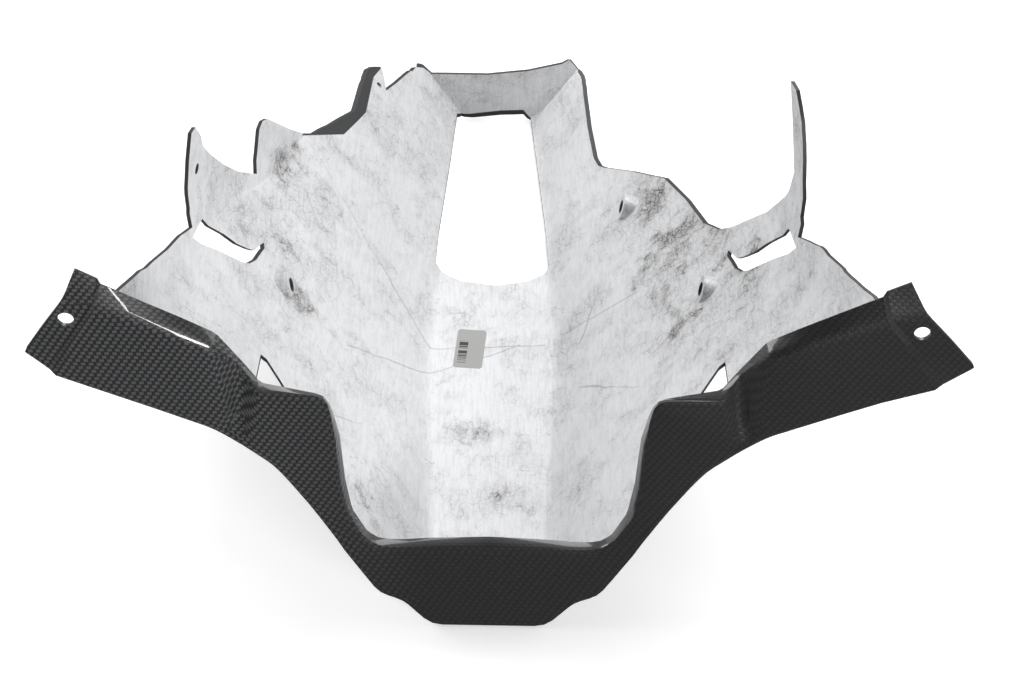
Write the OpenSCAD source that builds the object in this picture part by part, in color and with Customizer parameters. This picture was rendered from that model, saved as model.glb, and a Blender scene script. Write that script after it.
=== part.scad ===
/* [Laminate] */
// Thickness of the laminate, outer weave to inner foil
ply_t = 2; // [1.6:0.1:2.6]
// Round of the leading edge, where the front face turns back into the walls
lead_r = 3.5; // [3:0.5:6]
// Round of the fold along the top of the front face
fold_r = 4; // [2.5:0.5:6]
// Depth of the lip that turns back from the top of the front face
lip_d = 6; // [5:0.5:9]

/* [Overall] */
// Width over both wing tabs
pan_w = 460.8; // [440:0.4:480]
// Height over all, keel to the top corners of the wing tabs
pan_h = 227; // [220:1:236]
// How much further out the right wing tab reaches than the left one
tab_extra = 8; // [0:0.5:12]

/* [Keel] */
// Half width of the flat keel at the nose
keel_front = 30; // [25:0.5:34]
// Half width of the flat keel at its widest, under the sump
keel_mid = 40; // [35:0.5:45]
// Half width of the flat keel at the foot of the rear panel
keel_rear = 24; // [20:0.5:30]
// Height of the step beside the keel at the nose
step_h = 18; // [13:0.5:22]
// Height of the nose, keel to the fold of the front face
nose_h = 56; // [50:0.5:62]
// How far the chin stands forward of the fold above it
chin = 4; // [0:0.5:7]
// Length from the front face to the foot of the rear panel
floor_l = 462; // [440:1:480]
// Height of the rear panel
rear_h = 40; // [36:0.5:46]
// Lean of the rear panel, foot to top
rear_lean = 12; // [8:0.5:18]

/* [Screw holes] */
// Hole in each wing tab
tab_hole_d = 8; // [6:0.5:10]
// Outside of each screw boss
boss_d = 16; // [14:0.5:18]
// How far each screw boss leans, its flat end turned up towards the trough's mouth
boss_lean = 15; // [8:1:26]
// Hole in the flat end of each screw boss
boss_hole_d = 8; // [6:0.5:9]
// Hole in the left ear
ear_hole_d = 6; // [4:0.5:8]
// Hole in the rear tab
rear_hole_d = 4; // [3:0.5:5]

/* [Hidden] */

// Where the wing tabs begin, and their length. The right tab is the left one's mirror
// image, drawn out past its root; wide is the stretch of the whole net to the width.
tab_root = 195;
tab_l = 31.4;
function reach(x) = x + tab_extra * max(0, x - tab_root) / tab_l;
wide = pan_w / (2 * (tab_root + tab_l) + tab_extra);

// Screw places: the wing tabs' as [x, z], the others as [x, y, z] on the wall.
tab_hole = [204.5, 201];
bosses = [[-114.5, 179, 83], [115.5, 180, 84], [75, 304, 47.5]];
ear_hole = [-160, 166, 172];
rear_hole = [-78.4, 421, 52.6];
rear_hole_lean = 45;
// How far a boss's tube runs outboard before the wall trims it, and how far outboard of
// its flat end's centre the middle of the wall lies
boss_reach = 40;
boss_sink = 6.4;

// Front net: for each column of the half front face, its place on the leading edge,
// at mid height, on the fold, and on the free edge of the lip, each as [x, z] seen
// from the front. Columns 8 to 10 are the valley between the nose and the wing.
front_net = [
    [[0, 0], [0, 28], [0, nose_h], [0, nose_h + 1.5]],
    [[keel_front, 0], [31, 28], [32, nose_h], [32, nose_h]],
    [[45, step_h], [46, 36], [46, nose_h - 1], [46, nose_h - 1.5]],
    [[57, step_h + 4], [58, 40], [58, nose_h], [58, nose_h - 1]],
    [[70.5, 43], [70, 55], [70, 68], [68, 66]],
    [[83.5, 67], [80, 77], [76, 88], [73, 88]],
    [[97, 91], [87, 114], [77, 137], [76, 136]],
    [[109, 109], [95, 134], [81, 158], [82, 153]],
    [[121.5, 121], [118.5, 137], [114.5, 158.5], [113.5, 159.5]],
    [[131, 129], [125, 141], [122, 168], [122, 168]],
    [[138, 134], [130.5, 150], [136, 187], [134, 190]],
    [[180, 151.5], [174, 177], [168, 202], [162, 207]],
    [[213.5, 166], [203, 188], [190, 209], [187, 220.5]],
    [[217, 167.5], [205, 189], [192, 210], [189, 221.5]],
    [[228, 179], [217, 196], [206, 212], [199, 227]]
];
// The height that the net is drawn to, at the tips' top corners, and its stretch to the
// height over all.
net_h = front_net[14][3].y;
tall = pan_h / net_h;

// How far each column of the front face stands back from the front plane at the
// leading edge, at mid height, at the fold, and at the lip beyond the lip's own depth.
front_back = [
    [-chin, -chin / 2, 0, 0], [-chin, -chin / 2, 0, 0], [-chin, -chin / 2, 0, 0],
    [-0.8 * chin, -chin / 2, 0, 0], [-chin / 2, 0, 0, 0], [-chin / 4, 0, 0, 0],
    [0, 0, 0, 0], [0, 0, 0, 0], [0, 0, 0, 1], [0, 7, 9, 6], [0, 0, 0, 2],
    [0, 0, 0, 1], [0, 0, 0, 0], [3, 3, 3, 3], [3, 3, 3, 3]
];

// Body ribs: [y, keel half width, knee, shoulder, top], the last three as [x, z].
ribs = [
    [12, 31, [110, 108], [180, 154], [217, 173]],
    [60, 34, [116, 100], [170, 148], [185, 187]],
    [120, 37, [126, 94], [168, 142], [172, 190]],
    [176, 39, [131, 92], [164, 138], [157, 236]],
    [215, keel_mid, [131, 91], [152, 122], [149, 200]],
    [258, 38, [124, 86], [137, 99], [137, 165]],
    [320, 34, [110, 76], [121, 87], [121, 130]],
    [400, 29, [84, 55], [96, 67], [112, 83]],
    [floor_l, keel_rear, [62, 38], [70, 46], [84, 60]]
];

function lerp(a, b, t) = a + (b - a) * t;

// A rib's columns: keel centre, keel edge, up the wall to the knee, to the shoulder, to the top.
function rib_columns(r) = [
    [0, r[0], 0], [r[1], r[0], 0],
    for (t = [0.14, 0.27, 0.43, 0.62, 0.81, 1]) across(lerp([r[1], 0], r[2], t), r[0]),
    for (t = [0.25, 0.45, 0.7, 1]) across(lerp(r[2], r[3], t), r[0]),
    for (t = [0.8, 0.88, 1]) across(lerp(r[3], r[4], t), r[0])
];
function across(p, y) = [p.x, y, p.y];

// The last rib is the top of the rear panel.
rear_rib = let (w = keel_rear + rear_h - 8) [
    [0, floor_l + rear_lean, rear_h], [w - 6, floor_l + rear_lean, rear_h],
    for (t = [0:12]) [lerp(w, 90, t / 12), floor_l + rear_lean, rear_h + lerp(w, 90, t / 12) - w]
];

front_rings = [
    [for (c = [0:14]) across(front_net[c][3], lip_d + front_back[c][3])],
    for (k = [2:-1:0]) [for (c = [0:14]) across(front_net[c][k], front_back[c][k])]
];
rings = concat(front_rings, [for (r = ribs) rib_columns(r)], [rear_rib]);

// Rounding of a path's corners: each corner takes a distance along its two sides
// and a count of points; a count of 1 keeps the corner itself.
function corner(a, b, c, d, n) = n < 2 ? [b] :
    let (
        ea = min(d, 0.45 * norm(a - b)), ec = min(d, 0.45 * norm(c - b)),
        p = b + (a - b) * ea / max(norm(a - b), 0.001),
        q = b + (c - b) * ec / max(norm(c - b), 0.001)
    )
    [for (i = [0:n - 1]) let (t = i / (n - 1)) (1 - t) * (1 - t) * p + 2 * t * (1 - t) * b + t * t * q];
function rounded(path, rule) = [
    for (i = [0:len(path) - 1])
        each i == 0 || i == len(path) - 1 ? [path[i]]
            : corner(path[i - 1], path[i], path[i + 1], rule[i][0], rule[i][1])
];

column_rule = [
    [0, 1], [6, 3], [4, 3], [5, 3], [9, 2], [9, 2], [9, 2], [5, 3],
    [1.5, 2], [7, 4], [2, 2], [14, 2], [1, 1], [1, 1], [0, 1]
];
ring_rule = [
    [0, 1], [fold_r, 3], [0, 1], [lead_r, 4], [4, 1], [15, 2], [15, 2], [15, 2], [12, 2],
    [14, 2], [20, 2], [20, 2], [8, 3], [0, 1]
];

half_rings = [for (r = rings) rounded(r, column_rule)];
half_w = len(half_rings[0]) - 1;
full_rings = [for (r = half_rings) concat(
    [for (i = [half_w:-1:1]) [-r[i].x, r[i].y, r[i].z]],
    [for (p = r) [reach(p.x), p.y, p.z]])];
columns = [for (i = [0:2 * half_w]) rounded([for (r = full_rings) r[i]], ring_rule)];
n_u = len(columns);
n_v = len(columns[0]);

function clampi(i, n) = min(max(i, 0), n - 1);
function at(i, j) = columns[clampi(i, n_u)][clampi(j, n_v)];
function unit(v) = v / max(norm(v), 0.000001);
function inward(i, j) = unit(cross(at(i + 1, j) - at(i - 1, j), at(i, j + 1) - at(i, j - 1)));

module skin_loft() {
    outer = [for (i = [0:n_u - 1]) for (j = [0:n_v - 1]) at(i, j)];
    inner = [for (i = [0:n_u - 1]) for (j = [0:n_v - 1]) at(i, j) + ply_t * inward(i, j)];
    off = len(outer);
    function id(i, j) = i * n_v + j;
    faces = [
        for (i = [0:n_u - 2]) for (j = [0:n_v - 2]) each [
            [id(i, j), id(i + 1, j + 1), id(i, j + 1)],
            [id(i, j), id(i + 1, j), id(i + 1, j + 1)],
            [off + id(i, j), off + id(i, j + 1), off + id(i + 1, j + 1)],
            [off + id(i, j), off + id(i + 1, j + 1), off + id(i + 1, j)]
        ],
        for (i = [0:n_u - 2]) each [
            [id(i, 0), off + id(i + 1, 0), id(i + 1, 0)],
            [id(i, 0), off + id(i, 0), off + id(i + 1, 0)],
            [id(i, n_v - 1), id(i + 1, n_v - 1), off + id(i + 1, n_v - 1)],
            [id(i, n_v - 1), off + id(i + 1, n_v - 1), off + id(i, n_v - 1)]
        ],
        for (j = [0:n_v - 2]) each [
            [id(0, j), id(0, j + 1), off + id(0, j + 1)],
            [id(0, j), off + id(0, j + 1), off + id(0, j)],
            [id(n_u - 1, j), off + id(n_u - 1, j + 1), id(n_u - 1, j + 1)],
            [id(n_u - 1, j), off + id(n_u - 1, j), off + id(n_u - 1, j + 1)]
        ]
    ];
    polyhedron(points = concat(outer, inner), faces = faces, convexity = 12);
}

// Top edge of each side seen from the side, [y, z], front to rear; all above it is cut away.
left_edge = [
    [52, 180], [70, 178], [94, 169], [128, 156], [147, 147], [151, 157], [150, 171], [153, 187],
    [158, 201], [165, 200], [173, 189], [177, 179], [188, 166], [206, 146], [225, 127], [245, 111],
    [250, 124], [254, 136], [259, 138], [266, 135], [301, 103], [318, 88], [328, 81], [337, 78],
    [347, 74], [363, 68.5], [378, 63], [393, 62.5], [411, 62], [427, 61], [434, 58.5], [439.5, 55],
    [438, 53.5], [430, 51], [421, 49], [438, 44], [457, 39], [465, 37.5], [467, 36.5],
    [468, 34.5], [472, 34]
];
right_edge = [
    [52, 184], [78, 181], [110, 170], [134, 155], [146, 148], [152, 157], [147, 173], [152, 194],
    [159, 214], [170, net_h - 0.5], [179, net_h - 1], [172, 195], [168, 175], [176, 157],
    [192, 135], [208, 113],
    [217, 100], [226, 91], [241, 84], [273, 77], [306, 68], [318, 61], [334, 52], [358, 37],
    [364, 34], [375, 32], [410, 31], [446, 31.5], [459, 32], [469, 34], [471, 38], [473, 41]
];
slot_edge = [
    [164, 140], [142, 144], [156, 125], [166, 109], [171, 104], [180, 99.5], [197, 94.5],
    [201, 95.5], [195, 98], [186, 101.5], [182, 106], [177, 113], [174, 122]
];
window_edge = [
    [-29, 456], [-26, 460], [0, 461.5], [15, 462], [20, 459], [24, 412], [30, 338], [32, 300],
    [29, 294], [19, 287], [0, 282], [-22, 286], [-34, 294], [-38, 300], [-37, 330], [-32, 405]
];
gusset_edge = [[124, 97], [121, 97], [96, 64], [98, 60], [121, 60], [124, 63]];
rear_edge = [
    [-62, 37.5], [-56, 37.5], [-51.5, 35], [-46, 30], [-9, 30], [18, 33], [40, 38], [45, 41],
    [51, 34], [90, 34]
];

// Draws a side view outline, [y, z], as a solid from x = x0 to x = x1.
module side_cut(outline, x0, x1) {
    translate([x0, 0, 0]) rotate([90, 0, 90]) linear_extrude(x1 - x0) polygon(outline);
}

module trims() {
    sky = 300;
    side_cut(concat([[17, sky], [17, 179]], left_edge, [[520, 34], [520, sky]]), -300, -56);
    side_cut(concat([[17, sky], [17, 179]], right_edge, [[520, 41], [520, sky]]), 50, 300);
    translate([0, 520, 0]) rotate([90, 0, 0]) linear_extrude(60)
        polygon(concat(rear_edge, [[90, sky], [-62, sky]]));
    for (side = [-1, 1]) {
        side_cut(slot_edge, side < 0 ? -200 : 120, side < 0 ? -120 : 200);
        scale([side, 1, 1]) translate([0, 0, 60]) linear_extrude(80) polygon(gusset_edge);
    }
    translate([0, 0, -5]) linear_extrude(30) polygon(window_edge);
}

// Puts its children at a screw place on the wall, with +Z pointing outboard.
module at_wall(p, lean) {
    translate(p) rotate([0, sign(p.x) * (90 + lean), 0]) children();
}
function stretched(p) = [p.x * wide, p.y, p.z * tall];

// A screw boss: a cup pressed into the wall from outside, with a flat inner end.
module boss_cup(b) {
    intersection() {
        at_wall(b, boss_lean) difference() {
            cylinder(d = boss_d, h = boss_reach, $fn = 24);
            boss_recess();
        }
        translate([b.x + sign(b.x) * boss_sink, b.y, b.z]) rotate([0, sign(b.x) * 45, 0])
            translate([-sign(b.x) * boss_reach, 0, 0]) cube(2 * boss_reach, center = true);
    }
}
module boss_recess() {
    translate([0, 0, ply_t]) cylinder(d = boss_d - 2 * ply_t, h = 2 * boss_reach, $fn = 24);
}

// The moulding before its holes are drilled: the skin, trimmed, with its bosses pressed in.
module moulding() {
    difference() {
        skin_loft();
        trims();
        for (b = bosses) at_wall(b, boss_lean) boss_recess();
    }
    for (b = bosses) boss_cup(b);
}

module holes() {
    for (x = [-tab_hole.x, reach(tab_hole.x)]) translate(stretched([x, 20, tab_hole.y]))
        rotate([90, 0, 0]) cylinder(d = tab_hole_d, h = 40, $fn = 48);
    for (b = bosses) at_wall(stretched(b), boss_lean) translate([0, 0, -5])
        cylinder(d = boss_hole_d, h = 12, $fn = 48);
    at_wall(stretched(ear_hole), 0) translate([0, 0, -10])
        cylinder(d = ear_hole_d, h = 20, $fn = 48);
    at_wall(stretched(rear_hole), rear_hole_lean) translate([0, 0, -10])
        cylinder(d = rear_hole_d, h = 20, $fn = 48);
}

module pan_shell() {
    color([0.16, 0.16, 0.17])
        translate([-wide * tab_extra / 2, (chin - floor_l - rear_lean) / 2, 0])
        difference() {
            resize([pan_w, 0, pan_h]) moulding();
            holes();
        }
}

pan_shell();
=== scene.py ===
import math

import bmesh
import bpy
from mathutils import Matrix, Vector
from mathutils.bvhtree import BVHTree


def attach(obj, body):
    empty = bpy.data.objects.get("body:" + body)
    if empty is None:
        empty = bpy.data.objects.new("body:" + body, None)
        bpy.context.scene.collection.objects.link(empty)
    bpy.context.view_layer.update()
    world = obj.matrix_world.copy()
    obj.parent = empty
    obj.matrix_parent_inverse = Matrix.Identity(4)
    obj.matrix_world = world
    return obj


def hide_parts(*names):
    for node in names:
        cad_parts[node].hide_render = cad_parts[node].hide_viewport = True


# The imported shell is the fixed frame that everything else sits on.
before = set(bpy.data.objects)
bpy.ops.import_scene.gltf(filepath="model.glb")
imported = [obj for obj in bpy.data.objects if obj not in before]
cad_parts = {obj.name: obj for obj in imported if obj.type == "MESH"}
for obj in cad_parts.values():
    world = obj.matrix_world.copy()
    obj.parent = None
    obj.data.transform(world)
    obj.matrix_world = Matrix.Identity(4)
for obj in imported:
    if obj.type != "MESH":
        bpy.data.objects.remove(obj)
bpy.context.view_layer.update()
scene = bpy.context.scene
scene.view_settings.view_transform = "Standard"

# The camera stands in front of the pan and looks down into the open trough.
# It is rolled a little, as the photograph is.
FRAME_W = 1024
LENS_PX = 2600
SENSOR_MM = 36.0
CAMERA_AT = Vector((0.006, -1.1927, 0.9979))
CAMERA_DOWN = math.radians(40.0)
CAMERA_ROLL = math.radians(0.95)

camera_data = bpy.data.cameras.new("camera")
camera_data.sensor_width = SENSOR_MM
camera_data.lens = LENS_PX / FRAME_W * SENSOR_MM
camera = bpy.data.objects.new("camera", camera_data)
turn = Matrix.Rotation(math.pi / 2 - CAMERA_DOWN, 4, "X") @ Matrix.Rotation(CAMERA_ROLL, 4, "Z")
camera.matrix_world = Matrix.Translation(CAMERA_AT) @ turn
scene.collection.objects.link(camera)
scene.camera = camera


# A white sweep of studio paper under the pan. The camera sees a share of it as plain
# white light and the rest as lit paper, which holds the faint shadow. Polished faces
# mirror it as the dim floor in front of a studio set.
FLOOR_HALF = 6.0
PAPER = (0.95, 0.95, 0.95, 1)
PAPER_SHARE = 0.15
PAPER_GLOW = 3.00
PAPER_IN_MIRRORS = 0.17
WHITE = (1, 1, 1, 1)


def node(tree, kind, ins=(), **props):
    """Adds one shader node, with its properties, constants and links."""
    made = tree.nodes.new("ShaderNode" + kind)
    for name, value in props.items():
        setattr(made, name, value)
    for key, value in dict(ins).items():
        if isinstance(value, bpy.types.NodeSocket):
            tree.links.new(value, made.inputs[key])
        else:
            made.inputs[key].default_value = value
    return made


def fresh_material(name):
    """An empty material and its node tree."""
    mat = bpy.data.materials.new(name)
    mat.use_nodes = True
    mat.node_tree.nodes.clear()
    return mat, mat.node_tree


paper, pt = fresh_material("studio_paper")
path = node(pt, "LightPath")
lit = node(pt, "BsdfDiffuse", {"Color": PAPER})
white = node(pt, "Emission", {"Color": WHITE, "Strength": PAPER_GLOW})
mirror = node(pt, "Emission", {"Color": WHITE, "Strength": PAPER_IN_MIRRORS})
share = node(pt, "Math", {0: path.outputs["Is Camera Ray"], 1: PAPER_SHARE}, operation="MULTIPLY")
to_camera = node(pt, "MixShader", {0: share.outputs[0], 1: lit.outputs[0], 2: white.outputs[0]})
to_mirror = node(
    pt, "MixShader",
    {0: path.outputs["Is Glossy Ray"], 1: to_camera.outputs[0], 2: mirror.outputs[0]},
)
node(pt, "OutputMaterial", {"Surface": to_mirror.outputs[0]})

floor_mesh = bmesh.new()
bmesh.ops.create_grid(floor_mesh, x_segments=1, y_segments=1, size=FLOOR_HALF)
floor_data = bpy.data.meshes.new("floor")
floor_mesh.to_mesh(floor_data)
floor_mesh.free()
floor = bpy.data.objects.new("floor", floor_data)
floor_data.materials.append(paper)
scene.collection.objects.link(floor)


# Soft studio light: a dim room that is darkest on the camera's side, a large soft
# box high behind on the right, one beside the pan on each hand for its walls, and a
# small one low in front on the right, which the left wing mirrors.
ROOM_BRIGHT = 0.60
ROOM_DARK = 0.06
ROOM_FADE = (-0.55, 0.25)
# Each box has a name, a place, a point that it faces, a width and height, and watts.
BOXES = [
    ("back_box", (0.55, 0.95, 1.60), (0, 0, 0.05), (1.8, 1.2), 24),
    ("left_box", (-1.40, 0.10, 0.95), (0, 0, 0.08), (1.0, 0.9), 14),
    ("right_box", (1.40, 0.10, 0.95), (0, 0, 0.08), (1.0, 0.9), 5),
    ("front_box", (0.80, -1.70, 0.62), (-0.05, 0.0, 0.08), (0.9, 0.30), 20),
]


def step(tree, value, span, to_low=0.0, to_high=1.0):
    """A smooth step of a value, from to_low at the span's start to to_high at its end."""
    return node(
        tree, "MapRange",
        {"Value": value, "From Min": span[0], "From Max": span[1], "To Min": to_low, "To Max": to_high},
        interpolation_type="SMOOTHSTEP",
    ).outputs[0]


world = bpy.data.worlds.new("room")
scene.world = world
world.use_nodes = True
wt = world.node_tree
wt.nodes.clear()
sky = node(wt, "SeparateXYZ", {0: node(wt, "TexCoord").outputs["Generated"]})
sky_level = step(wt, sky.outputs["Y"], ROOM_FADE, ROOM_DARK, ROOM_BRIGHT)
to_lens = node(wt, "LightPath").outputs["Is Camera Ray"]
seen = node(wt, "Math", {0: sky_level, 1: to_lens}, operation="MAXIMUM")
sky_light = node(wt, "Background", {"Strength": seen.outputs[0]})
node(wt, "OutputWorld", {"Surface": sky_light.outputs[0]})

for name, at, aim, size, watts in BOXES:
    data = bpy.data.lights.new(name, "AREA")
    data.shape = "RECTANGLE"
    data.size, data.size_y = size
    data.energy = watts
    lamp = bpy.data.objects.new(name, data)
    lamp.location = at
    lamp.rotation_euler = (Vector(aim) - Vector(at)).to_track_quat("-Z", "Y").to_euler()
    scene.collection.objects.link(lamp)


# The moulded shell: one carbon laminate, laid by hand in a mould, glossy outside and
# lined with silver heat film that is bonded in. Its trims are sawn. Its finishes
# come first, then its mesh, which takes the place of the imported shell.

# Twill weave as a shader effect: rows of soft dashes, each row shifted a little from
# the one under it, so that they climb to the right. It takes a place in millimetres.
ROW = 2.3
PITCH = 3.85
SHIFT = 1.45
# Half a dash, along its row and across it, and its soft edge, as shares of its space.
DASH_HALF = (0.36, 0.46)
DASH_FADE = 0.16

weave = bpy.data.node_groups.new("twill_weave", "ShaderNodeTree")
weave.interface.new_socket("Place", in_out="INPUT", socket_type="NodeSocketVector")
weave.interface.new_socket("Dash", in_out="OUTPUT", socket_type="NodeSocketFloat")
place = node(weave, "SeparateXYZ", {0: weave.nodes.new("NodeGroupInput").outputs["Place"]})
rows = node(weave, "Math", {0: place.outputs["Y"], 1: ROW}, operation="DIVIDE")
row_no = node(weave, "Math", {0: rows.outputs[0]}, operation="FLOOR")
row_at = node(weave, "Math", {0: rows.outputs[0], 1: row_no.outputs[0]}, operation="SUBTRACT")
moved = node(
    weave, "Math", {0: row_no.outputs[0], 1: -SHIFT, 2: place.outputs["X"]}, operation="MULTIPLY_ADD",
)
along = node(weave, "Math", {0: moved.outputs[0], 1: PITCH}, operation="DIVIDE")
along_at = node(weave, "Math", {0: along.outputs[0]}, operation="FRACT")
soft = []
for value, half in zip((along_at, row_at), DASH_HALF):
    off = node(weave, "Math", {0: value.outputs[0], 1: 0.5}, operation="SUBTRACT")
    far = node(weave, "Math", {0: off.outputs[0]}, operation="ABSOLUTE")
    soft.append(step(weave, far.outputs[0], (half, half - DASH_FADE)))
dash = node(weave, "Math", {0: soft[0], 1: soft[1]}, operation="MULTIPLY")
weave.links.new(dash.outputs[0], weave.nodes.new("NodeGroupOutput").inputs["Dash"])

# Glossy carbon: nearly black twill under a smooth clear coat. A painted sheen is laid into the
# tows' colour: painted brighter on the left wing, and painted darker on faces that look up.
TOW_DARK = (0.007, 0.0072, 0.0078, 1)
TOW_LIGHT = (0.080, 0.082, 0.086, 1)
TOW_ROUGH = 0.42
TOW_RELIEF = 0.0002
# Painted sheen on the tows: full on the left wing, falling to its low share towards the right, and painted
# down to its up share on faces that look up.
PAINTED_SHEEN_X = (-0.03, -0.13)
PAINTED_SHEEN_LOW = 0.12
LOOKS_UP = (0.45, 0.80)
PAINTED_SHEEN_UP = 0.15
COAT_ROUGH = 0.04
COAT_IOR = 1.5


def weave_on(tree):
    """The twill on the shell's own weave coordinates."""
    made = node(tree, "Group", {"Place": node(tree, "UVMap", uv_map="weave_mm").outputs[0]}, node_tree=weave)
    return made.outputs["Dash"]


carbon, ct = fresh_material("carbon_twill")
carbon_dash = weave_on(ct)
side_x = node(ct, "SeparateXYZ", {0: node(ct, "TexCoord").outputs["Object"]}).outputs["X"]
facing_up = node(ct, "SeparateXYZ", {0: node(ct, "TexCoord").outputs["Normal"]}).outputs["Z"]
# The tows' colour carries painted sheen, brighter towards the left wing and dimmer on faces that look up.
painted_sheen_left = step(ct, side_x, PAINTED_SHEEN_X, PAINTED_SHEEN_LOW, 1.0)
painted_sheen_up = step(ct, facing_up, LOOKS_UP, 1.0, PAINTED_SHEEN_UP)
painted_tow_sheen = node(ct, "Math", {0: painted_sheen_left, 1: painted_sheen_up}, operation="MULTIPLY")
weave_and_painted_sheen = node(ct, "Math", {0: carbon_dash, 1: painted_tow_sheen.outputs[0]}, operation="MULTIPLY")
tow = node(ct, "Mix", {0: weave_and_painted_sheen.outputs[0], 6: TOW_DARK, 7: TOW_LIGHT}, data_type="RGBA")
relief = node(ct, "Bump", {"Height": carbon_dash, "Distance": TOW_RELIEF, "Strength": 0.3})
carbon_bsdf = node(ct, "BsdfPrincipled", {
    "Base Color": tow.outputs[2], "Roughness": TOW_ROUGH, "Normal": relief.outputs[0],
    "Coat Weight": 1.0, "Coat Roughness": COAT_ROUGH, "Coat IOR": COAT_IOR,
})
node(ct, "OutputMaterial", {"Surface": carbon_bsdf.outputs[0]})

# Bare laminate: the sawn edges, which are smooth and dark grey, and the dull back
# of the front face, where the resin is not polished.
EDGE_GREY = (0.035, 0.036, 0.038, 1)
EDGE_ROUGH = 0.45
RAW_DARK = (0.02, 0.02, 0.021, 1)
RAW_LIGHT = (0.04, 0.04, 0.042, 1)
RAW_ROUGH = 0.5

edge, et = fresh_material("sawn_edge")
edge_bsdf = node(et, "BsdfPrincipled", {"Base Color": EDGE_GREY, "Roughness": EDGE_ROUGH})
node(et, "OutputMaterial", {"Surface": edge_bsdf.outputs[0]})

raw, rt = fresh_material("raw_back")
raw_tow = node(rt, "Mix", {0: weave_on(rt), 6: RAW_DARK, 7: RAW_LIGHT}, data_type="RGBA")
raw_bsdf = node(rt, "BsdfPrincipled", {"Base Color": raw_tow.outputs[2], "Roughness": RAW_ROUGH})
node(rt, "OutputMaterial", {"Surface": raw_bsdf.outputs[0]})

# Silver heat film: pale, softly metallic, with fine grain, a network of creases
# and dark handling marks that gather round the bosses, slots and the right wall.
FILM = (0.80, 0.805, 0.82, 1)
FILM_METAL = 0.25
FILM_ROUGH = 0.5
FILM_RELIEF = 0.0006
MARK = (0.09, 0.085, 0.075, 1)
# Each zone of handling marks has a centre, a radius and a strength.
ZONES = [
    ((0.108, 0.000, 0.076), 0.060, 0.9), ((0.121, -0.070, 0.095), 0.050, 0.9),
    ((0.081, 0.060, 0.059), 0.035, 0.9), ((0.140, -0.110, 0.120), 0.050, 0.5),
    ((-0.117, -0.066, 0.082), 0.022, 0.9), ((-0.130, -0.080, 0.092), 0.030, 0.6),
    ((-0.122, -0.010, 0.081), 0.040, 0.45), ((-0.121, 0.045, 0.083), 0.035, 0.6),
    ((-0.153, -0.029, 0.125), 0.035, 0.7), ((-0.024, 0.231, 0.020), 0.055, 0.40),
    ((-0.070, 0.150, 0.039), 0.030, 0.5), ((-0.017, -0.088, 0.002), 0.013, 1.0),
    ((0.007, -0.141, 0.002), 0.015, 1.0), ((-0.063, -0.187, 0.036), 0.030, 0.6),
    ((0.057, -0.085, 0.026), 0.012, 0.6), ((0.157, -0.079, 0.170), 0.050, 0.35),
]
# A zone fades out between these shares of its radius.
ZONE_FADE = (1.4, 0.3)
ZONE_PULL = 0.20
# Each long crease runs from one place on the film to another.
CREASES = [
    ((-0.112, 0.075, 0.072), (-0.0426, -0.014, 0.003)),
    ((-0.0426, -0.014, 0.003), (0.0256, -0.009, 0.002)),
    ((-0.087, -0.066, 0.048), (-0.045, -0.0385, 0.004)),
    ((-0.045, -0.0385, 0.004), (0.0108, -0.0094, 0.002)),
    ((0.080, -0.012, 0.048), (0.035, -0.0012, 0.003)),
    ((0.070, 0.058, 0.050), (0.046, -0.020, 0.012)),
    ((0.046, -0.060, 0.015), (0.120, -0.150, 0.085)),
    ((-0.100, -0.150, 0.070), (-0.050, -0.100, 0.020)),
]
# Heights count less for a crease, so that it holds to the film that it runs over.
FLAT = (1.0, 1.0, 0.15)
CREASE_WIDTH = (0.0008, 0.0001)
# How far a slow noise bends the marks and the long creases.
WARP_SCALE = 70.0
MARK_WARP = 0.012
CREASE_WARP = 0.004
# The film's canvas grain, finest across the pan, and the cells of its crumples.
GRAIN_SCALE = (640.0, 80.0, 95.0)
CRUMPLE_SCALE = (170.0, 62.0, 150.0)
CRUMPLE_TURN = (0.0, 0.0, 0.5)
FOLD_SCALE = 260.0
CLOUD_SCALE = 38.0
HAIR_SCALE = 26.0
HAIR_ROOM_SCALE = 30.0
SPECK_SCALE = 900.0
# Levels of the clouded patches at which smudges and folds begin and are full.
SMEAR_AT = (0.62, 0.78)
FOLDS_AT = (0.46, 0.66)
HAZE_AT = (0.42, 0.66)
# The same for the noises that make room for long hairs, specks and grain.
HAIR_ROOM_AT = (0.5, 0.62)
SPECK_AT = (0.68, 0.74)
GRAIN_AT = (0.35, 0.75)
# How dark each kind of mark gets, from no mark at 0 to the mark's own colour at 1.
SMUDGE_LINES = 0.60
SMUDGE_GREY = 0.32
STREAK_DARK = (0.05, 0.34)
FOLD_DARK = (0.02, 0.20)
CREASE_DARK = 0.36
HAIR_DARK = 0.38
SPECK_DARK = 0.35
GRAIN_DARK = 0.13
HAZE_DARK = 0.10

film, ft = fresh_material("silver_film")
spot = node(ft, "TexCoord").outputs["Object"]
warp_noise = node(ft, "TexNoise", {"Vector": spot, "Scale": WARP_SCALE, "Detail": 3.0})
warp_off = node(
    ft, "VectorMath", {0: warp_noise.outputs["Color"], 1: (0.5, 0.5, 0.5)}, operation="SUBTRACT",
)


def bent(reach):
    """Places on the film, bent by the slow noise as far as reach, in metres."""
    return node(
        ft, "VectorMath", {0: warp_off.outputs[0], 1: (reach, reach, reach), 2: spot},
        operation="MULTIPLY_ADD",
    ).outputs[0]


def join(op, a, b):
    """Two values of the film put together by one sum."""
    return node(ft, "Math", {0: a, 1: b}, operation=op).outputs[0]


def noise(where, scale, detail, rough):
    return node(
        ft, "TexNoise", {"Vector": where, "Scale": scale, "Detail": detail, "Roughness": rough},
    ).outputs["Fac"]


def hairs(where, scale, width):
    """Thin wandering lines, where a noise crosses its middle level."""
    off = join("ABSOLUTE", join("SUBTRACT", noise(where, scale, 5.0, 0.6), 0.5), 0.0)
    return step(ft, off, (width, 0.0))


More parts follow.
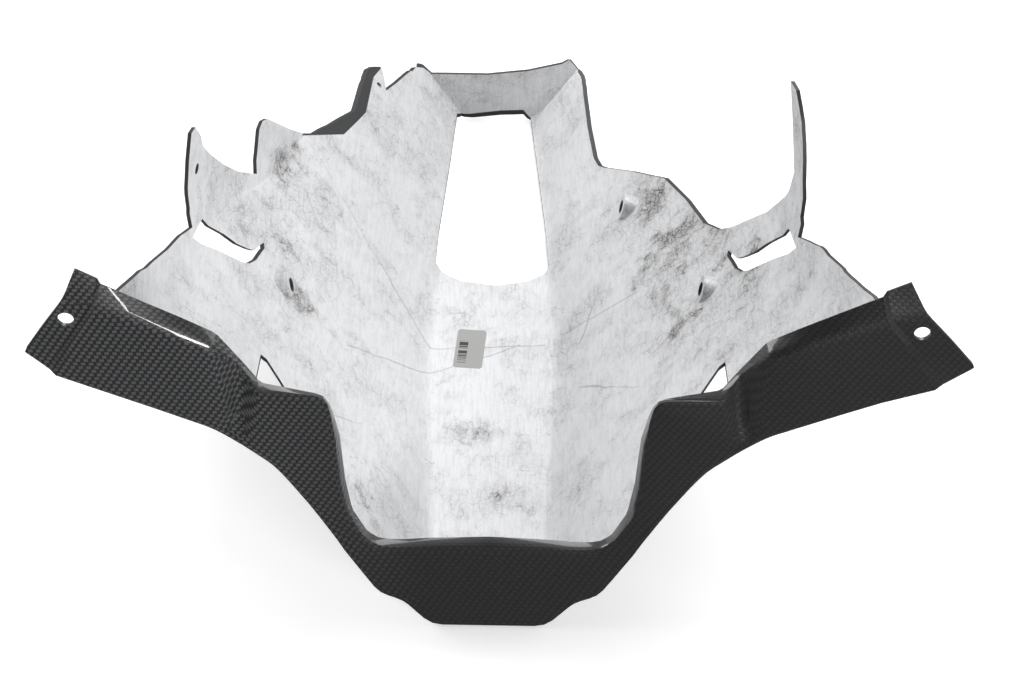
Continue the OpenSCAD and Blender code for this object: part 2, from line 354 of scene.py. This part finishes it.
def cells(where, scale, width):
    """Straight short folds, as in crumpled foil, along the borders of cells."""
    border = node(ft, "TexVoronoi", {"Vector": where, "Scale": scale}, feature="DISTANCE_TO_EDGE")
    return step(ft, border.outputs["Distance"], (width, 0.0))


def crease_line(start, end, where):
    """A thin line from start to end, both in flattened places."""
    way = end - start
    toward = tuple(way / way.length_squared)
    arm = node(ft, "VectorMath", {0: where, 1: tuple(start)}, operation="SUBTRACT").outputs[0]
    run = node(ft, "VectorMath", {0: arm, 1: toward}, operation="DOT_PRODUCT").outputs["Value"]
    held = node(ft, "Clamp", {"Value": run, "Min": 0.0, "Max": 1.0}).outputs[0]
    foot = node(ft, "VectorMath", {0: tuple(way), "Scale": held}, operation="SCALE").outputs[0]
    miss = node(ft, "VectorMath", {0: arm, 1: foot}, operation="DISTANCE").outputs["Value"]
    return step(ft, miss, CREASE_WIDTH)


zone = None
for centre, radius, power in ZONES:
    gap = node(ft, "VectorMath", {0: spot, 1: centre}, operation="DISTANCE").outputs["Value"]
    here = step(ft, gap, (radius * ZONE_FADE[0], radius * ZONE_FADE[1]), 0.0, power)
    zone = here if zone is None else join("MAXIMUM", zone, here)

line = None
flat = node(ft, "VectorMath", {0: bent(CREASE_WARP), 1: FLAT}, operation="MULTIPLY").outputs[0]
for ends in CREASES:
    here = crease_line(*(Vector(end) * Vector(FLAT) for end in ends), flat)
    line = here if line is None else join("MAXIMUM", line, here)

warped = bent(MARK_WARP)
canvas = node(ft, "Mapping", {"Vector": spot, "Scale": GRAIN_SCALE}).outputs[0]
crumple = node(
    ft, "Mapping", {"Vector": warped, "Rotation": CRUMPLE_TURN, "Scale": CRUMPLE_SCALE},
).outputs[0]
grain = noise(canvas, 1.0, 4.0, 0.65)
cloud = noise(warped, CLOUD_SCALE, 8.0, 0.68)
patch = join("ADD", cloud, join("MULTIPLY", zone, ZONE_PULL))
fine_hair = join("MULTIPLY", hairs(spot, FOLD_SCALE, 0.04), 0.5)
fold = join("MAXIMUM", cells(warped, FOLD_SCALE, 0.07), fine_hair)
streak = cells(crumple, 1.0, 0.05)
hair_room = step(ft, noise(spot, HAIR_ROOM_SCALE, 2.0, 0.5), HAIR_ROOM_AT)
long_hair = join("MULTIPLY", hairs(warped, HAIR_SCALE, 0.006), hair_room)
speck = step(ft, noise(spot, SPECK_SCALE, 2.0, 0.5), SPECK_AT)

smudge = join("ADD", join("MULTIPLY", join("MAXIMUM", fold, streak), SMUDGE_LINES), SMUDGE_GREY)
marks = join("MULTIPLY", step(ft, patch, SMEAR_AT), smudge)
for mask, dark in (
    (streak, step(ft, patch, FOLDS_AT, *STREAK_DARK)), (line, CREASE_DARK), (long_hair, HAIR_DARK),
    (fold, step(ft, patch, FOLDS_AT, *FOLD_DARK)), (speck, SPECK_DARK),
):
    marks = join("MAXIMUM", marks, join("MULTIPLY", mask, dark))
marks = join("ADD", marks, step(ft, grain, GRAIN_AT, 0.0, GRAIN_DARK))
marks = join("ADD", marks, step(ft, patch, HAZE_AT, 0.0, HAZE_DARK))
film_tone = node(ft, "Mix", {0: marks, 6: FILM, 7: MARK}, data_type="RGBA")
film_height = join("ADD", join("MULTIPLY", long_hair, 0.6), join("MULTIPLY", grain, 0.6))
film_relief = node(ft, "Bump", {"Height": film_height, "Distance": FILM_RELIEF, "Strength": 0.5})
film_bsdf = node(ft, "BsdfPrincipled", {
    "Base Color": film_tone.outputs[2], "Metallic": FILM_METAL, "Roughness": FILM_ROUGH,
    "Normal": film_relief.outputs[0],
})
node(ft, "OutputMaterial", {"Surface": film_bsdf.outputs[0]})

# The shell's mesh: each facet of the drilled moulding is sorted by where it lies.
# Trims were cut square to X, Y or Z, which tells their edges; the inner skin looks
# to the middle of the trough; the front's back is bare.
MIDDLE_X = -0.004
MIDDLE_Z = 0.16
KEEL_HALF = 0.045
FRONT_Y = -0.235
REAR_Y = 0.225
# The saw's corner on each side of the rear panel, and the windows behind the wings.
CORNER_DEEP = 0.012
CORNER_Z = 0.030
GUSSET_BACK = -0.105
GUSSET_TOP = 0.12
# How far back the front face and its lip reach, also in the valley beside the nose.
LIP_BACK = 0.0115
VALLEY_BACK = 0.0155
VALLEY_X = (0.100, 0.150)
# More solid than this straight behind a facet means that it is no face of the sheet.
SHEET = 0.0036
# Parts of a facet's normal: square to an axis, turned up, forward or back.
EDGE_ON = 0.02
EDGE_ON_REAR = 0.01
TURNED_UP = 0.85
TURNED_BACK = 0.6
TURNED_FRONT = -0.4
LEANS_UP = 0.2
SHARP = math.radians(32)
WELD = 0.00002
# The look behind a facet starts at its middle and at points near its corners.
NEAR_CORNER = 0.7
LOOK_FAR = 0.1
# The three screw bosses: the centres of their flat ends, their lean and outside.
BOSSES = [(-0.1185, -0.056, 0.083), (0.1115, -0.055, 0.084), (0.071, 0.069, 0.0475)]
BOSS_LEAN = math.radians(15)
BOSS_R = 0.008
BOSS_SLACK = 0.0008
BOSS_SKIN = 0.001
BOSS_RUN = (-0.001, 0.03)
HEAD_ON = 0.9
SIDE_ON = 0.2
# At the left rear rim the film stops short of the edge, along this line of (y, z).
BARE_LINE = [
    (0.080, 0.0885), (0.113, 0.0663), (0.138, 0.0600),
    (0.150, 0.0572), (0.189, 0.0573), (0.206, 0.0540),
]
BARE_X = -0.070
BARE_Y = (0.070, 0.211)
# Share of a wall's height that goes into the weave's run across it.
WALL_RISE = 0.7
CARBON, FILM_SIDE, SAWN, RAW = range(4)

shell_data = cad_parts["pan_shell"].data.copy()
shell = bpy.data.objects.new("shell", shell_data)
scene.collection.objects.link(shell)
shell_data.materials.clear()
for mat in (carbon, film, edge, raw):
    shell_data.materials.append(mat)

skin = bmesh.new()
skin.from_mesh(shell_data)
bmesh.ops.remove_doubles(skin, verts=skin.verts, dist=WELD)
bmesh.ops.dissolve_degenerate(skin, edges=skin.edges, dist=WELD)

cuts = [(a, (0, b[1] - a[1], a[0] - b[0])) for a, b in zip(BARE_LINE, BARE_LINE[1:])]
cuts += [(a, (0, 1, 0)) for a in BARE_LINE[1:-1]]
for (y, z), normal in cuts:
    middles = [(f, f.calc_center_median()) for f in skin.faces]
    near = [f for f, at in middles if at.x < BARE_X and BARE_Y[0] < at.y < BARE_Y[1]]
    parts = set(near) | {e for f in near for e in f.edges} | {v for f in near for v in f.verts}
    bmesh.ops.bisect_plane(skin, geom=list(parts), dist=1e-6, plane_co=(0, y, z), plane_no=normal)
skin.normal_update()
skin.faces.ensure_lookup_table()
tree = BVHTree.FromBMesh(skin)
weave_uv = skin.loops.layers.uv.new("weave_mm")


def behind(face):
    """How far the solid runs straight behind a facet: the second least of four tries."""
    middle = face.calc_center_median()
    starts = [middle] + [middle.lerp(v.co, NEAR_CORNER) for v in face.verts]
    back = -face.normal
    runs = [tree.ray_cast(at + back * WELD, back, LOOK_FAR)[3] or LOOK_FAR for at in starts]
    return sorted(runs)[1]


def on_boss(at, n):
    """The finish of a facet that belongs to a screw boss, if it does."""
    for x, y, z in BOSSES:
        axis = Vector((math.copysign(math.cos(BOSS_LEAN), x), 0, -math.sin(BOSS_LEAN)))
        arm = at - Vector((x, y, z))
        r = (arm - arm.dot(axis) * axis).length
        if r < BOSS_R + BOSS_SLACK and BOSS_RUN[0] < arm.dot(axis) < BOSS_RUN[1]:
            if abs(n.dot(axis)) > HEAD_ON:
                return FILM_SIDE if n.dot(axis) < 0 else CARBON
            if abs(n.dot(axis)) < SIDE_ON:
                return FILM_SIDE if r > BOSS_R - BOSS_SKIN else SAWN
    return None


def is_bare(at):
    """Whether a place on the inner skin lies above the film's crooked edge."""
    if at.x > BARE_X or not BARE_LINE[0][0] < at.y < BARE_LINE[-1][0]:
        return False
    for (y0, z0), (y1, z1) in zip(BARE_LINE, BARE_LINE[1:]):
        if y0 <= at.y <= y1:
            return at.z > z0 + (z1 - z0) * (at.y - y0) / (y1 - y0)
    return False


def is_sawn(at, n, out):
    """Whether a facet is square to the axis that its part of the rim was cut along."""
    side = out > KEEL_HALF and at.y < REAR_Y and abs(n.x) < EDGE_ON
    gusset = at.y < GUSSET_BACK and at.z < GUSSET_TOP
    window = abs(n.z) < EDGE_ON and (out < KEEL_HALF or gusset)
    rear = at.y > REAR_Y and abs(n.y) < EDGE_ON_REAR
    corner = at.y > REAR_Y - CORNER_DEEP and at.z > CORNER_Z
    corner = corner and min(abs(n.x), abs(n.y)) < EDGE_ON and n.z > TURNED_UP
    return side or window or rear or corner


def kind_of(face):
    """The finish of a facet, as its material's number."""
    at, n = face.calc_center_median(), face.normal
    out = abs(at.x - MIDDLE_X)
    boss = on_boss(at, n)
    if boss is not None:
        return boss
    if at.y - FRONT_Y < (VALLEY_BACK if VALLEY_X[0] < out < VALLEY_X[1] else LIP_BACK):
        return RAW if n.y > TURNED_BACK else CARBON
    if is_sawn(at, n, out) or behind(face) > SHEET:
        return SAWN
    if n.dot(Vector((MIDDLE_X - at.x, 0, MIDDLE_Z - at.z))) <= 0:
        return CARBON
    return SAWN if is_bare(at) else FILM_SIDE


for face in skin.faces:
    face.smooth = True
    face.material_index = kind_of(face)
    front = face.normal.y < TURNED_FRONT or face.calc_center_median().y - FRONT_Y < LIP_BACK
    fall = 1 if face.normal.z > LEANS_UP else -1
    for loop in face.loops:
        x, y, z = (1000 * c for c in loop.vert.co)
        side = math.copysign(1, x)
        loop[weave_uv].uv = (x, z + fall * y) if front else (x + side * WALL_RISE * z, -y)
for line_edge in skin.edges:
    faces = line_edge.link_faces
    if len(faces) == 2:
        other = faces[0].material_index != faces[1].material_index
        line_edge.smooth = not (other or line_edge.calc_face_angle(0) > SHARP)
skin.to_mesh(shell_data)
skin.free()
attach(shell, "root")
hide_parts("pan_shell")


# The paper label on the trough's floor: a thin grey sticker, its corners cut in a
# little, turned a few degrees. Its bar block is stripes that stand for nothing.
LABEL_AT = Vector((-0.0189, -0.0132, 0.00203))
LABEL_SIZE = (0.0172, 0.0350)
LABEL_T = 0.00012
LABEL_CUT = 0.001
LABEL_TURN = math.radians(-4.0)
LABEL_GREY = (0.44, 0.44, 0.43, 1)
LABEL_ROUGH = 0.6
BAR_BLACK = (0.05, 0.05, 0.05, 1)
# The bar block's reach on the label, in millimetres, its bars per millimetre, and
# the level above which a bar is printed.
BAR_BLOCK = (("X", -6.6, -1.4), ("Y", -13.4, 7.0))
BARS_PER_MM = 1.9
BAR_LEVEL = 0.4

label_mat, lt = fresh_material("paper_label")


def label_math(op, a, b=0.0):
    """Two values of the label put together by one sum."""
    return node(lt, "Math", {0: a, 1: b}, operation=op).outputs[0]


label_spot = node(lt, "SeparateXYZ", {0: node(lt, "UVMap", uv_map="label_mm").outputs[0]})
bar_no = label_math("FLOOR", label_math("MULTIPLY", label_spot.outputs["Y"], BARS_PER_MM))
bars = node(lt, "TexWhiteNoise", {"W": bar_no}, noise_dimensions="1D")
printed = label_math("GREATER_THAN", bars.outputs["Value"], BAR_LEVEL)
for axis, low, high in BAR_BLOCK:
    for op, limit in (("GREATER_THAN", low), ("LESS_THAN", high)):
        printed = label_math("MULTIPLY", printed, label_math(op, label_spot.outputs[axis], limit))
label_tone = node(lt, "Mix", {0: printed, 6: LABEL_GREY, 7: BAR_BLACK}, data_type="RGBA")
label_bsdf = node(lt, "BsdfPrincipled", {"Base Color": label_tone.outputs[2], "Roughness": LABEL_ROUGH})
node(lt, "OutputMaterial", {"Surface": label_bsdf.outputs[0]})

sticker = bmesh.new()
bmesh.ops.create_cube(sticker, size=1.0)
for vert in sticker.verts:
    vert.co = Vector((vert.co.x * LABEL_SIZE[0], vert.co.y * LABEL_SIZE[1], (vert.co.z + 0.5) * LABEL_T))
corners = [e for e in sticker.edges if abs(e.verts[0].co.z - e.verts[1].co.z) > LABEL_T / 2]
bmesh.ops.bevel(sticker, geom=corners, offset=LABEL_CUT, segments=3, affect="EDGES")
label_uv = sticker.loops.layers.uv.new("label_mm")
for face in sticker.faces:
    for loop in face.loops:
        loop[label_uv].uv = (1000 * loop.vert.co.x, 1000 * loop.vert.co.y)
bmesh.ops.transform(
    sticker, verts=sticker.verts,
    matrix=Matrix.Translation(LABEL_AT) @ Matrix.Rotation(LABEL_TURN, 4, "Z"),
)
label_data = bpy.data.meshes.new("label")
sticker.to_mesh(label_data)
sticker.free()
label_data.materials.append(label_mat)
label = bpy.data.objects.new("label", label_data)
scene.collection.objects.link(label)
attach(label, "root")
